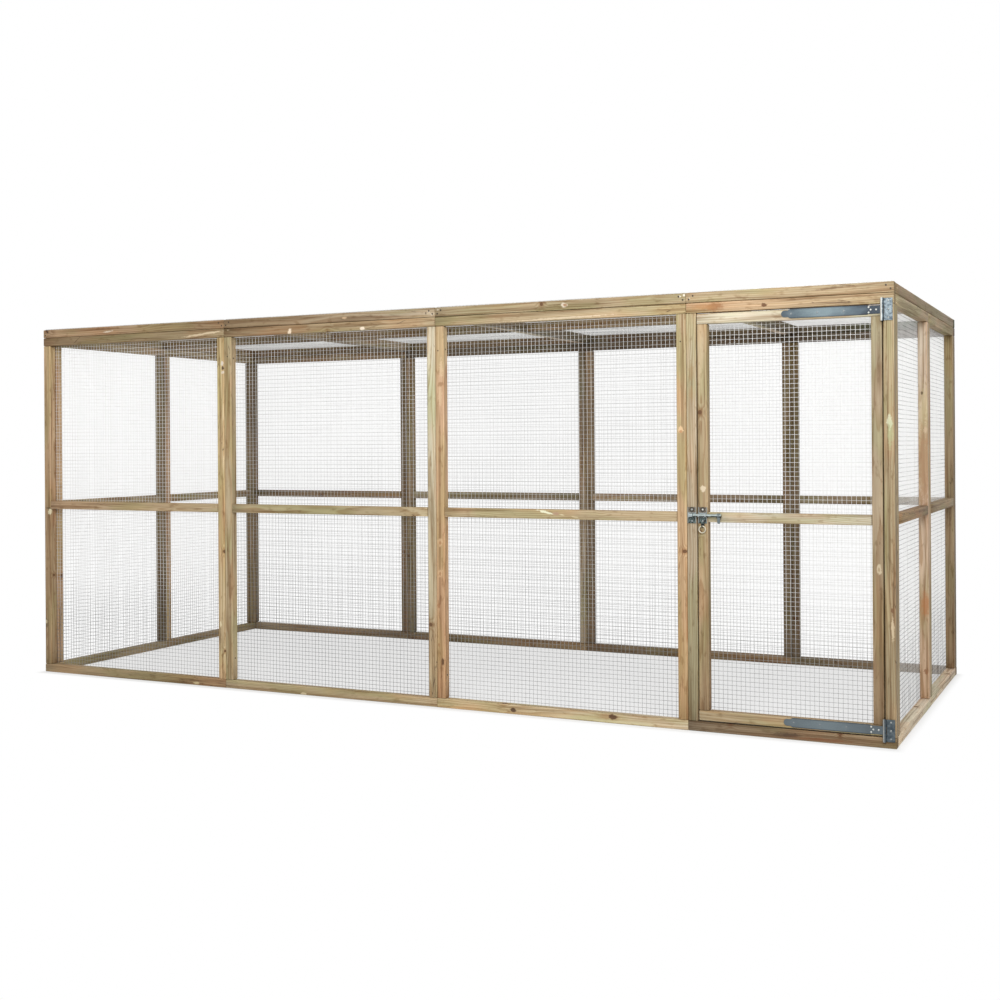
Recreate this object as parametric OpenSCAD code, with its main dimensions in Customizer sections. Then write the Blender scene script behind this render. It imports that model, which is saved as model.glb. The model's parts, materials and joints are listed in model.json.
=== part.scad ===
// Walk-in pet run made of framed wire mesh panels: four panels in the front, the back and the
// roof, two in each side, and a hinged door with a sliding bolt in the narrow front panel.
// +X runs to the right along the front, +Y to the back and +Z up. The origin is on the ground,
// in the middle of the whole outline, with the door furniture.

/* [Run] */
// Width of each wide panel, three of them in the front, the back and the roof
wide_panel_w = 1200; // [900:10:1500]
// Width of the narrow panels, one of which frames the door
door_panel_w = 850; // [750:10:1000]
// Width of each of the two panels in a side wall
side_panel_w = 900; // [700:10:1200]
// Height of the wall panels
wall_h = 1800; // [1600:10:2100]
// Height of the middle rails' centre line
mid_rail_z = 900; // [700:10:1100]

/* [Timber] */
// Width of a timber's face
timber_w = 44; // [40:1:60]
// Thickness of a timber through its panel
timber_t = 44; // [40:1:60]

/* [Mesh] */
// Diameter of the welded wire, of which two layers make a sheet
wire_d = 1.4; // [0.8:0.1:2]
// Spacing of the strands, each of which stands for several of the fine mesh's wires
strand_pitch = 150; // [120:10:200]
// Width of a strand
strand_w = 10; // [4:1:14]
// Distance from a sheet's edge to its panel's edge
mesh_inset = 8; // [4:1:15]

/* [Door] */
// Gap between the door and its frame
door_gap = 3; // [2:0.5:6]

/* [Hinges] */
// Length of a hinge strap from its pin to its tip
strap_l = 400; // [300:5:450]
// Width of a strap
strap_w = 38; // [34:1:40]
// Length of the narrower stretch beside the knuckle
neck_l = 56; // [50:1:70]
// Width of the narrower stretch, and length of its knuckle
neck_w = 33; // [26:1:34]
// Length of the finger at the strap's tip
finger_l = 22; // [18:1:30]
// Width of the finger
finger_w = 27; // [20:1:30]
// Thickness of the hinge metal
hinge_t = 3; // [2:0.5:3.5]
// Outer radius of a knuckle
knuckle_r = 7; // [6.5:0.5:9]
// Radius of a hinge pin
pin_r = 4; // [3:0.5:5]
// Height of the plate on the frame
plate_h = 88; // [76:2:100]
// Distance from the pin to the plate's far edge
plate_reach = 40; // [34:1:42]
// Height of a hinge above the centre line of its door rail
hinge_rise = 3; // [0:1:5]

/* [Bolt] */
// Radius of the bolt's rod
rod_r = 6; // [5:0.5:7]
// Length of the rod
rod_l = 120; // [110:1:150]
// Width of the plates on the door and on the frame
bolt_plate_w = 38; // [36:1:40]
// Height of those plates
bolt_plate_h = 68; // [60:2:90]
// Thickness of the bolt's metal
bolt_t = 2; // [1.5:0.5:3]
// Width of the loop on the frame
keep_w = 14; // [10:1:18]
// Width of each of the two loops on the door
guide_w = 8; // [6:1:10]
// Outer radius of the handle's collar
collar_r = 9.5; // [9:0.5:12]
// Width of the handle
handle_w = 12; // [10:1:16]
// Length of the handle below the rod's centre line
handle_l = 34; // [26:1:40]
// Radius of the padlock's hole
eye_r = 4.25; // [3:0.25:5]
// Height of the bolt above the middle rail's centre line
bolt_rise = 8; // [0:1:12]

/* [Screws] */
// Radius of a screw's shank
screw_r = 2.2; // [1.5:0.1:2.5]
// Radius of a screw's head
head_r = 4; // [3.5:0.5:5]
// Length of the screws in the hinges and the bolt
short_screw_l = 28; // [20:1:38]
// Length of the screws that hold the timbers together
long_screw_l = 75; // [60:1:84]
// Distance from a panel's top or bottom edge to the screws that join it to its neighbour
join_screw_end = 150; // [100:5:250]
// Distance from a roof rail's end to its outer screw
roof_screw_end = 13; // [8:1:14]

/* [Hidden] */

// Radial clearance of a pin or rod in its bore
fit = 0.05;
// Gap between the two layers of a sheet, which keeps its strands separate solids
layer_gap = 0.05;
// Radial clearance of a screw in a hole in metal
hole_play = 0.3;
// Clearance between a knuckle or collar and what stands beside it
side_play = 0.4;
// Radial play of the rod in the loop on the frame
keep_play = 1.5;
// Clearance between the rod and the plates behind it
rod_gap = 1;
// Clearance between the drawn rod's tip and the loop on the frame
tip_gap = 1.5;
// Height of a screw's or a pin's head
head_h = 1.6;
// How far a pin's head, the rod's rings and the padlock lug stand out round their middles
pin_rim = 1.5;
rod_rim = 2.5;
lug_rim = 3.5;
// Thickness of the rod's end cap, of the ring on the rod and of the padlock lug
rod_cap = 4;
rod_ring = 3;
lug_t = 3;
// Width of the tongue that carries the lug, and the hole's distance below the plate
tongue_w = 14;
eye_drop = 9;
// Where the strap's screws stand: the nearest one from the pin, the next ones and the pair from
// the neck's end, the last one from the finger, and the pair's heads from the strap's edge
near_screw_x = 23;
neck_screw_in = 12;
neck_pair_in = 4;
tip_screw_in = 18;
head_margin = 2;
// Distance from a plate's end to its outer screws, on the hinges and on the bolt
plate_screw_end = 11;
bolt_screw_end = 10;
// Distance from a knuckle to the wide part of its plate
plate_gap = 1;
timber_colour = "tan";
mesh_colour = "silver";
zinc_colour = "lightsteelblue";

mesh_t = 2 * wire_d + layer_gap;
run_w = 3 * wide_panel_w + door_panel_w;
run_d = 2 * (timber_t + mesh_t + side_panel_w);

// The bolt's rod stands off its plates, and its loop and handle reach furthest from the front
keep_r = rod_r + keep_play;
rod_out = max(bolt_t + rod_gap + rod_r, max(collar_r, keep_r + bolt_t) + side_play);
furniture_out = max(rod_out + max(collar_r, keep_r + bolt_t), 2 * knuckle_r);
run_left = -run_w / 2;
run_right = run_w / 2;
front_y = (furniture_out - run_d) / 2;
back_y = front_y + run_d;
side_y = front_y + timber_t + mesh_t;

// Each panel is its wall, the place where it starts along the wall, and its width
front_left = ["front", run_left, wide_panel_w];
front_centre = ["front", run_left + wide_panel_w, wide_panel_w];
front_right = ["front", run_left + 2 * wide_panel_w, wide_panel_w];
door_frame = ["front", run_right - door_panel_w, door_panel_w];
back_left = ["back", run_left, wide_panel_w];
back_centre = ["back", run_left + wide_panel_w, wide_panel_w];
back_right = ["back", run_left + 2 * wide_panel_w, wide_panel_w];
back_narrow = ["back", run_right - door_panel_w, door_panel_w];
left_front = ["left", side_y, side_panel_w];
left_back = ["left", side_y + side_panel_w, side_panel_w];
right_front = ["right", side_y, side_panel_w];
right_back = ["right", side_y + side_panel_w, side_panel_w];
roof_left = ["roof", run_left, wide_panel_w];
roof_centre = ["roof", run_left + wide_panel_w, wide_panel_w];
roof_right = ["roof", run_left + 2 * wide_panel_w, wide_panel_w];
roof_narrow = ["roof", run_right - door_panel_w, door_panel_w];

// The door leaf inside its frame
door_left = run_right - door_panel_w + timber_w + door_gap;
door_right = run_right - timber_w - door_gap;
door_bottom = timber_w + door_gap;
door_top = wall_h - timber_w - door_gap;
door_w = door_right - door_left;
door_h = door_top - door_bottom;

// The hinge pins' axis stands in front of the gap on the right of the door
pin_x = door_right + door_gap / 2;
pin_y = front_y - knuckle_r;
hinge_z = [door_bottom + timber_w / 2 + hinge_rise, door_top - timber_w / 2 + hinge_rise];
plate_start = knuckle_r + plate_gap;
plate_mid = (plate_start + plate_reach) / 2;
plate_screw_z = plate_h / 2 - plate_screw_end;
neck_screw_x = neck_l - neck_screw_in;
strap_screw_step = (strap_l - finger_l - tip_screw_in - neck_screw_x) / 3;
strap_screw_x = [near_screw_x, for (i = [0 : 3]) neck_screw_x + i * strap_screw_step];

// The bolt, drawn back: its rod ends just clear of the loop on the frame
rod_y = front_y - rod_out;
bolt_z = mid_rail_z + bolt_rise;
guide_r = rod_r + fit + bolt_t;
keep_x = run_right - door_panel_w + timber_w / 2;
bolt_plate_x = door_left + timber_w / 2;
rod_tip_x = keep_x + keep_w / 2 + tip_gap;
rod_end_x = rod_tip_x + rod_l;
rod_cap_r = rod_r + rod_rim;
handle_x = rod_end_x - rod_cap - side_play - handle_w;
bolt_screw_z = bolt_plate_h / 2 - bolt_screw_end;
eye_z = -bolt_plate_h / 2 - eye_drop;
lug_r = eye_r + lug_rim;

// Number of openings across a sheet of this length, and the distance from strand to strand
function gap_count(length) = max(2, round(length / strand_pitch));
function strand_step(length) = (length - strand_w) / gap_count(length);

function panel_height(panel) = panel[0] == "roof" ? run_d : wall_h;
function middle_rail(panel) = panel[0] == "roof" ? run_d / 2 : mid_rail_z;

// Puts a panel, drawn with its timber face at y = 0 and its mesh behind it, into its wall. The
// back and the left wall show their timber inwards and have their mesh outside, and the roof lies
// with its timber down.
module in_wall(panel) {
    at = panel[1];
    if (panel[0] == "front") translate([at, front_y, 0]) children();
    if (panel[0] == "back") translate([at, back_y - timber_t - mesh_t, 0]) children();
    if (panel[0] == "left")
        translate([run_left + timber_t + mesh_t, at, 0]) rotate([0, 0, 90]) children();
    if (panel[0] == "right") translate([run_right, at, 0]) rotate([0, 0, 90]) children();
    if (panel[0] == "roof") translate([at, back_y, wall_h]) rotate([90, 0, 0]) children();
}

// Upright timbers between the top and the bottom rail
module upright_pair(width, height) {
    for (x = [0, width - timber_w])
        translate([x, 0, timber_w]) cube([timber_w, timber_t, height - 2 * timber_w]);
}

// Top and bottom rail, over the full width
module outer_rails(width, height) {
    for (z = [0, height - timber_w])
        translate([0, 0, z]) cube([width, timber_t, timber_w]);
}

// The outer rails, and a middle rail between the uprights
module rail_set(width, height, middle) {
    outer_rails(width, height);
    translate([timber_w, 0, middle - timber_w / 2])
        cube([width - 2 * timber_w, timber_t, timber_w]);
}

// Sheet of welded mesh on the back of a frame: upright strands against the timber, and level
// ones behind them
module net(width, height) {
    w = width - 2 * mesh_inset;
    h = height - 2 * mesh_inset;
    translate([mesh_inset, timber_t, mesh_inset]) {
        for (i = [0 : gap_count(w)])
            translate([i * strand_step(w), 0, 0]) cube([strand_w, wire_d, h]);
        for (j = [0 : gap_count(h)])
            translate([0, wire_d + layer_gap, j * strand_step(h)]) cube([w, wire_d, strand_w]);
    }
}

module stiles(panel) {
    color(timber_colour) in_wall(panel) upright_pair(panel[2], panel_height(panel));
}

module rails(panel) {
    color(timber_colour) in_wall(panel) rail_set(panel[2], panel_height(panel), middle_rail(panel));
}

module frame_rails(panel) {
    color(timber_colour) in_wall(panel) outer_rails(panel[2], panel_height(panel));
}

module mesh(panel) {
    color(mesh_colour) in_wall(panel) net(panel[2], panel_height(panel));
}

module at_door() {
    translate([door_left, front_y, door_bottom]) children();
}

module door_stiles() {
    color(timber_colour) at_door() upright_pair(door_w, door_h);
}

module door_rails() {
    color(timber_colour) at_door() rail_set(door_w, door_h, mid_rail_z - door_bottom);
}

module door_mesh() {
    color(mesh_colour) at_door() net(door_w, door_h);
}

// Flat metal on the front face, drawn as an outline in x and z about a hinge
module hinge_metal() {
    translate([0, knuckle_r, 0]) rotate([90, 0, 0]) linear_extrude(hinge_t) children();
}

module knuckle(low, high) {
    translate([0, 0, low]) cylinder(r = knuckle_r, h = high - low, $fn = 48);
}

// Holes for screws along y, at the given x and z
module screw_holes(places, depth) {
    for (p = places)
        translate([p[0], 0, p[1]]) rotate([90, 0, 0])
            cylinder(r = screw_r + hole_play, h = depth, center = true, $fn = 24);
}

function neck_holes() =
    [for (s = [-1, 1]) [neck_pair_in - neck_l, s * (neck_w / 2 - head_r - head_margin)]];
function strap_holes() = concat([for (x = strap_screw_x) [-x, 0]], neck_holes());
function plate_holes() = [for (s = [-1, 0, 1]) [plate_mid, s * plate_screw_z]];

module strap() {
    round_x = strap_l - finger_l - strap_w / 2;
    difference() {
        union() {
            knuckle(-neck_w / 2, neck_w / 2);
            hinge_metal() {
                translate([-neck_l, -neck_w / 2]) square([neck_l, neck_w]);
                translate([-round_x, -strap_w / 2]) square([round_x - neck_l + 1, strap_w]);
                translate([-round_x, 0]) circle(r = strap_w / 2, $fn = 64);
                translate([finger_w / 2 - strap_l, -finger_w / 2])
                    square([strap_l - finger_w / 2 - round_x, finger_w]);
                translate([finger_w / 2 - strap_l, 0]) circle(r = finger_w / 2, $fn = 48);
            }
        }
        cylinder(r = pin_r + fit, h = neck_w + 2, center = true, $fn = 48);
        screw_holes(strap_holes(), 4 * knuckle_r);
    }
}

module hinge_straps() {
    color(zinc_colour) for (z = hinge_z) translate([pin_x, pin_y, z]) strap();
}

module frame_plate() {
    tab_low = neck_w / 2 + side_play;
    difference() {
        union() {
            knuckle(tab_low, plate_h / 2);
            knuckle(-plate_h / 2, -tab_low);
            hinge_metal() {
                translate([plate_start, -plate_h / 2]) square([plate_reach - plate_start, plate_h]);
                for (low = [-plate_h / 2, tab_low])
                    translate([0, low]) square([plate_start + 1, plate_h / 2 - tab_low]);
            }
        }
        cylinder(r = pin_r + fit, h = plate_h + 2, center = true, $fn = 48);
        screw_holes(plate_holes(), 4 * knuckle_r);
    }
}

module hinge_plates() {
    color(zinc_colour) for (z = hinge_z) translate([pin_x, pin_y, z]) frame_plate();
}

module hinge_pins() {
    color(zinc_colour) for (z = hinge_z) translate([pin_x, pin_y, z]) {
        cylinder(r = pin_r, h = plate_h, center = true, $fn = 48);
        for (s = [-1, 1])
            translate([0, 0, s * (plate_h / 2 + head_h / 2)])
                cylinder(r = pin_r + pin_rim, h = head_h, center = true, $fn = 48);
    }
}

// Plate of the bolt, flat on the front face, centred on the rod's height
module bolt_base() {
    translate([-bolt_plate_w / 2, rod_out - bolt_t, -bolt_plate_h / 2])
        cube([bolt_plate_w, bolt_t, bolt_plate_h]);
}

// Loop round the rod, standing on the plate
module loop(width, outer_r) {
    rotate([0, 90, 0]) cylinder(r = outer_r, h = width, center = true, $fn = 48);
    translate([-width / 2, 0, -outer_r]) cube([width, rod_out - bolt_t / 2, 2 * outer_r]);
}

module rod_bore(radius, length) {
    rotate([0, 90, 0]) cylinder(r = radius, h = length, center = true, $fn = 48);
}

function bolt_holes() = [for (s = [-1, 1]) [0, s * bolt_screw_z]];

// Lug with the padlock's hole, on a tongue below the plate
module padlock_lug() {
    translate([-tongue_w / 2, rod_out - bolt_t, eye_z]) cube([tongue_w, bolt_t, -eye_z]);
    translate([0, rod_out, eye_z]) rotate([90, 0, 0])
        cylinder(r = tongue_w / 2, h = bolt_t, $fn = 48);
    translate([0, 0, eye_z]) rod_bore(lug_r, lug_t);
    translate([-lug_t / 2, 0, eye_z - lug_r]) cube([lug_t, rod_out - bolt_t / 2, 2 * lug_r]);
}

module bolt_plate() {
    guide_x = bolt_plate_w / 2 - guide_w / 2;
    color(zinc_colour) translate([bolt_plate_x, rod_y, bolt_z]) difference() {
        union() {
            bolt_base();
            for (s = [-1, 1]) translate([s * guide_x, 0, 0]) loop(guide_w, guide_r);
            padlock_lug();
        }
        rod_bore(rod_r + fit, 2 * bolt_plate_w);
        translate([0, 0, eye_z]) rod_bore(eye_r, 4 * lug_t);
        screw_holes(bolt_holes(), 4 * rod_out);
    }
}

module bolt_keep() {
    color(zinc_colour) translate([keep_x, rod_y, bolt_z]) difference() {
        union() {
            bolt_base();
            loop(keep_w, keep_r + bolt_t);
        }
        rod_bore(keep_r, 2 * bolt_plate_w);
        screw_holes(bolt_holes(), 4 * rod_out);
    }
}

module bolt_rod() {
    color(zinc_colour) translate([rod_tip_x, rod_y, bolt_z]) rotate([0, 90, 0]) {
        cylinder(r = rod_r, h = rod_l, $fn = 48);
        translate([0, 0, rod_l - rod_cap]) cylinder(r = rod_cap_r, h = rod_cap, $fn = 48);
        translate([0, 0, rod_l - rod_cap - 2 * side_play - handle_w - rod_ring])
            cylinder(r = rod_cap_r, h = rod_ring, $fn = 48);
    }
}

// Handle that hangs from a collar on the rod and turns on it
module bolt_handle() {
    color(zinc_colour) translate([handle_x + handle_w / 2, rod_y, bolt_z]) difference() {
        union() {
            rod_bore(collar_r, handle_w);
            translate([-handle_w / 2, -bolt_t, handle_w / 2 - handle_l])
                cube([handle_w, 2 * bolt_t, handle_l - handle_w / 2]);
            translate([0, 0, handle_w / 2 - handle_l]) rotate([90, 0, 0])
                cylinder(r = handle_w / 2, h = 2 * bolt_t, center = true, $fn = 48);
        }
        rod_bore(rod_r + fit, 2 * handle_w);
    }
}

// Screw that points along +y, with its head's underside at y = 0
module screw(length) {
    rotate([-90, 0, 0]) cylinder(r = screw_r, h = length, $fn = 6);
    rotate([90, 0, 0]) cylinder(r = head_r, h = head_h, $fn = 8);
}

module screws_at(places) {
    for (p = places) translate([p[0], 0, p[1]]) screw(short_screw_l);
}

module door_screws() {
    color(zinc_colour) {
        for (z = hinge_z) translate([pin_x, front_y - hinge_t, z]) screws_at(strap_holes());
        translate([bolt_plate_x, front_y - bolt_t, bolt_z]) screws_at(bolt_holes());
    }
}

module plate_screws() {
    color(zinc_colour) {
        for (z = hinge_z) translate([pin_x, front_y - hinge_t, z]) screws_at(plate_holes());
        translate([keep_x, front_y - bolt_t, bolt_z]) screws_at(bolt_holes());
    }
}

// Long screws with their heads let in flush, at the given places along x, y and z
module flush_screw() {
    translate([0, head_h, 0]) screw(long_screw_l - head_h);
}

// Screws through one upright into the next panel's, from inside the opening
module join_screws(panel) {
    in_wall(panel)
        for (z = [join_screw_end, panel_height(panel) - join_screw_end])
            translate([timber_w, timber_t / 2, z]) rotate([0, 0, 90]) flush_screw();
}

// Screws through the ends of a roof panel's outer rails into its sides
module roof_corner_screws(panel) {
    far_x = timber_w - roof_screw_end;
    for (y = [0, 1], x = [0, 1], k = [0, 1]) {
        inset = k == 0 ? roof_screw_end : far_x;
        along = x == 0 ? panel[1] + inset : panel[1] + panel[2] - inset;
        translate([along, y == 0 ? front_y : back_y, wall_h + timber_t / 2 + (k - 0.5) * timber_t / 3])
            mirror([0, y, 0]) flush_screw();
    }
}

module frame_screws() {
    color(zinc_colour) {
        for (p = [front_centre, front_right, door_frame]) join_screws(p);
        for (p = [back_centre, back_right, back_narrow]) join_screws(p);
        join_screws(left_back);
        join_screws(right_back);
        for (p = [roof_left, roof_centre, roof_right, roof_narrow]) roof_corner_screws(p);
    }
}

stiles(front_left);  // front_left_stiles
rails(front_left);  // front_left_rails
mesh(front_left);  // front_left_mesh
stiles(front_centre);  // front_centre_stiles
rails(front_centre);  // front_centre_rails
mesh(front_centre);  // front_centre_mesh
stiles(front_right);  // front_right_stiles
rails(front_right);  // front_right_rails
mesh(front_right);  // front_right_mesh
stiles(door_frame);  // door_frame_stiles
frame_rails(door_frame);  // door_frame_rails
stiles(back_left);  // back_left_stiles
rails(back_left);  // back_left_rails
mesh(back_left);  // back_left_mesh
stiles(back_centre);  // back_centre_stiles
rails(back_centre);  // back_centre_rails
mesh(back_centre);  // back_centre_mesh
stiles(back_right);  // back_right_stiles
rails(back_right);  // back_right_rails
mesh(back_right);  // back_right_mesh
stiles(back_narrow);  // back_narrow_stiles
rails(back_narrow);  // back_narrow_rails
mesh(back_narrow);  // back_narrow_mesh
stiles(left_front);  // left_front_stiles
rails(left_front);  // left_front_rails
mesh(left_front);  // left_front_mesh
stiles(left_back);  // left_back_stiles
rails(left_back);  // left_back_rails
mesh(left_back);  // left_back_mesh
stiles(right_front);  // right_front_stiles
rails(right_front);  // right_front_rails
mesh(right_front);  // right_front_mesh
stiles(right_back);  // right_back_stiles
rails(right_back);  // right_back_rails
mesh(right_back);  // right_back_mesh
stiles(roof_left);  // roof_left_sides
rails(roof_left);  // roof_left_rails
mesh(roof_left);  // roof_left_mesh
stiles(roof_centre);  // roof_centre_sides
rails(roof_centre);  // roof_centre_rails
mesh(roof_centre);  // roof_centre_mesh
stiles(roof_right);  // roof_right_sides
rails(roof_right);  // roof_right_rails
mesh(roof_right);  // roof_right_mesh
stiles(roof_narrow);  // roof_narrow_sides
rails(roof_narrow);  // roof_narrow_rails
mesh(roof_narrow);  // roof_narrow_mesh
door_stiles();
door_rails();
door_mesh();
hinge_straps();
hinge_plates();
hinge_pins();
bolt_plate();
bolt_keep();
bolt_rod();
bolt_handle();
frame_screws();
plate_screws();
door_screws();
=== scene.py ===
import json
import math
import random
from functools import reduce

import bpy
from mathutils import Matrix, Vector, noise


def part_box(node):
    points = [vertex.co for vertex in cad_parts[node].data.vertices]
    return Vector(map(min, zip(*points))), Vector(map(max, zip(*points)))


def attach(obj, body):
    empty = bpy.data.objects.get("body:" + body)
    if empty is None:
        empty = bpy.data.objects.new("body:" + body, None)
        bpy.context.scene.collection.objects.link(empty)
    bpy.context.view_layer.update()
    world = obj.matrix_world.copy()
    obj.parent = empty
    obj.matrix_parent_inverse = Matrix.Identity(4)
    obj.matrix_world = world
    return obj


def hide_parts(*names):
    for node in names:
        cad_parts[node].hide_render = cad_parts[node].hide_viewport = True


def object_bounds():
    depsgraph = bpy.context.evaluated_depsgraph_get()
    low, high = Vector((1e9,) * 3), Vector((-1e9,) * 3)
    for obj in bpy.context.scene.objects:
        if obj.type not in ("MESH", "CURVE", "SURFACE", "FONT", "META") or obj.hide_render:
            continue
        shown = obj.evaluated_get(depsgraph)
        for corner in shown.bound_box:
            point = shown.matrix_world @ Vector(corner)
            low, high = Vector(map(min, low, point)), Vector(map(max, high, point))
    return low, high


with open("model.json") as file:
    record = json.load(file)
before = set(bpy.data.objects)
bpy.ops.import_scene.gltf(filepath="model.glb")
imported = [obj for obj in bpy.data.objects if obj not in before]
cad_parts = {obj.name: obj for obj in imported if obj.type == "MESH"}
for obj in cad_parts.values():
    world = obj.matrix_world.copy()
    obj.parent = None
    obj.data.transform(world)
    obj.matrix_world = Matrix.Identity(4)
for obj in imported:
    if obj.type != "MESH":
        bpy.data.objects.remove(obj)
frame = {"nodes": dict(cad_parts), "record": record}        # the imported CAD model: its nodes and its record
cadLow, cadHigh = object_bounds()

scene = bpy.context.scene
timberWidth = 0.044
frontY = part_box("front_left_stiles")[0].y                        # face of the front timbers
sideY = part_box("right_front_stiles")[1].y - timberWidth          # face of a middle upright
rodLow, rodHigh = (end.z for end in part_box("bolt_rod"))


# small helpers for node trees

bench = {}


def begin(tree):
    # the other helpers put their nodes in the tree that was begun last
    tree.nodes.clear()
    bench["tree"] = tree


def plug(socket, value):
    if isinstance(value, bpy.types.Node):        # a node stands for its first output
        value = value.outputs[0]
    if isinstance(value, bpy.types.NodeSocket):
        socket.id_data.links.new(value, socket)
    else:
        socket.default_value = value


def feed(node, inputs):
    for key, value in inputs.items():
        plug(node.inputs[key], value)


def add(kind, inputs=None, **settings):
    node = bench["tree"].nodes.new(kind)
    for key, value in settings.items():
        setattr(node, key, value)
    feed(node, inputs or {})
    return node


def shader(kind, *inputs, **settings):
    return add("ShaderNode" + kind, *inputs, **settings)


def shape(kind, *inputs, **settings):
    return add("GeometryNode" + kind, *inputs, **settings)


def calc(operation, *values, clamp=False):
    return shader("Math", dict(enumerate(values)), operation=operation, use_clamp=clamp).outputs[0]


def plus(*values):
    return reduce(lambda total, value: calc("ADD", total, value), values)


def times(*values):
    return reduce(lambda total, value: calc("MULTIPLY", total, value), values)


def minus(first, second):
    return calc("SUBTRACT", first, second)


def over(first, second):
    return calc("DIVIDE", first, second)


def gap(first, second):
    return calc("ABSOLUTE", minus(first, second))


def hypot(first, second):
    return calc("SQRT", plus(times(first, first), times(second, second)))


def swing(value, amount):
    # turns 0 to 1 into -amount to amount
    return calc("MULTIPLY_ADD", value, 2 * amount, -amount)


def vectorCalc(operation, *values):
    node = shader("VectorMath", dict(enumerate(values)), operation=operation)
    return node.outputs["Value" if operation == "LENGTH" else "Vector"]


def parts(vector):
    return shader("SeparateXYZ", {"Vector": vector}).outputs


def xyz(**values):
    return shader("CombineXYZ", values)


def attribute(name, output="Fac"):
    return shader("Attribute", attribute_name=name).outputs[output]


def objectPlace():
    return shader("TexCoord").outputs["Object"]


def fade(value, start, end, low=0.0, high=1.0):
    return shader("MapRange", dict(enumerate((value, start, end, low, high))),
                  interpolation_type="SMOOTHSTEP").outputs[0]


def cloudy(vector, stretch, detail=2.0, colour=False):
    # noise on a vector that is first stretched along each axis
    vector = vectorCalc("MULTIPLY", vector, stretch)
    node = shader("TexNoise", {"Vector": vector, "Scale": 1.0, "Detail": detail})
    return node.outputs[1 if colour else 0]


def mixed(factor, first, second, how="MIX"):
    return shader("Mix", {0: factor, 6: first, 7: second}, data_type="RGBA",
                  blend_type=how).outputs[2]


def tinted(colour, *tints):
    # the colour times each tint, as far as the tint's amount says
    for amount, tint in tints:
        colour = mixed(amount, colour, (*tint, 1), "MULTIPLY")
    return colour


def bump(height, strength, distance):
    return shader("Bump", {"Strength": strength, "Distance": distance, "Height": height})


def rgb(red, green, blue):
    # colour from 0 to 255, as seen on a screen, to the linear one that a shader takes
    def linear(part):
        part /= 255
        return part / 12.92 if part <= 0.04045 else ((part + 0.055) / 1.055) ** 2.4
    return (linear(red), linear(green), linear(blue), 1.0)


def newMaterial(name, colour):
    material = bpy.data.materials.new(name)
    material.use_nodes = True
    material.diffuse_color = colour
    begin(material.node_tree)
    surface = shader("BsdfPrincipled")
    shader("OutputMaterial", {"Surface": surface})
    return material, surface


def newObject(name, data):
    thing = bpy.data.objects.new(name, data)
    scene.collection.objects.link(thing)
    return thing


def addLayer(mesh, name, kind, values):
    layer = mesh.attributes.new(name, "FLOAT_" + kind, "POINT")
    layer.data.foreach_set(kind.lower(), [part for value in values for part in value])


# camera

viewpoint = {
    "side": 3.0976, "back": 5.4243, "height": 1.2085,        # back is counted from the front face
    "yaw": 0.4577, "roll": -0.0064,
    "lens": 48.105, "sensor": 36.0, "shift": (0.01576, -0.05505),
}


def addCamera():
    data = bpy.data.cameras.new("viewCamera")
    data.lens, data.sensor_width = viewpoint["lens"], viewpoint["sensor"]
    data.shift_x, data.shift_y = viewpoint["shift"]
    data.clip_end = 200
    camera = newObject("viewCamera", data)
    spot = Vector((viewpoint["side"], frontY - viewpoint["back"], viewpoint["height"]))
    camera.matrix_world = (
        Matrix.Translation(spot)
        @ Matrix.Rotation(viewpoint["yaw"], 4, "Z")
        @ Matrix.Rotation(math.pi / 2, 4, "X")
        @ Matrix.Rotation(viewpoint["roll"], 4, "Z")
    )
    scene.camera = camera


addCamera()
print("camera placed")


# pine, sawn and pressure treated

pineTones = {
    "pale": rgb(219, 205, 185), "cream": rgb(208, 193, 165), "mist": rgb(204, 197, 174),
    "straw": rgb(200, 182, 150), "honey": rgb(198, 178, 139), "pink": rgb(206, 176, 146),
    "tan": rgb(200, 171, 138), "khaki": rgb(184, 167, 135), "olive": rgb(168, 153, 122),
    "grey": rgb(176, 161, 137), "brown": rgb(157, 135, 105), "orange": rgb(184, 149, 113),
    "dark": rgb(131, 116, 95), "plum": rgb(134, 110, 106), "moss": rgb(92, 112, 84),
}

pine = {
    "ringWidth": 0.0072,        # growth rings, metres apart
    "ringBend": 0.020,          # how far the rings swing as they run along a timber
    "knotSpacing": 0.50,        # metres along a timber, a knot shows on some of them
    "knotSize": (0.005, 0.011),
    "knotless": 0.40,           # share of the places that hold no knot
    "markDepth": 0.012,         # metres that a mark reaches into the wood
    "lateWood": 0.62,           # how much darker the late wood is
    "roughness": 0.68,
}

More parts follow.
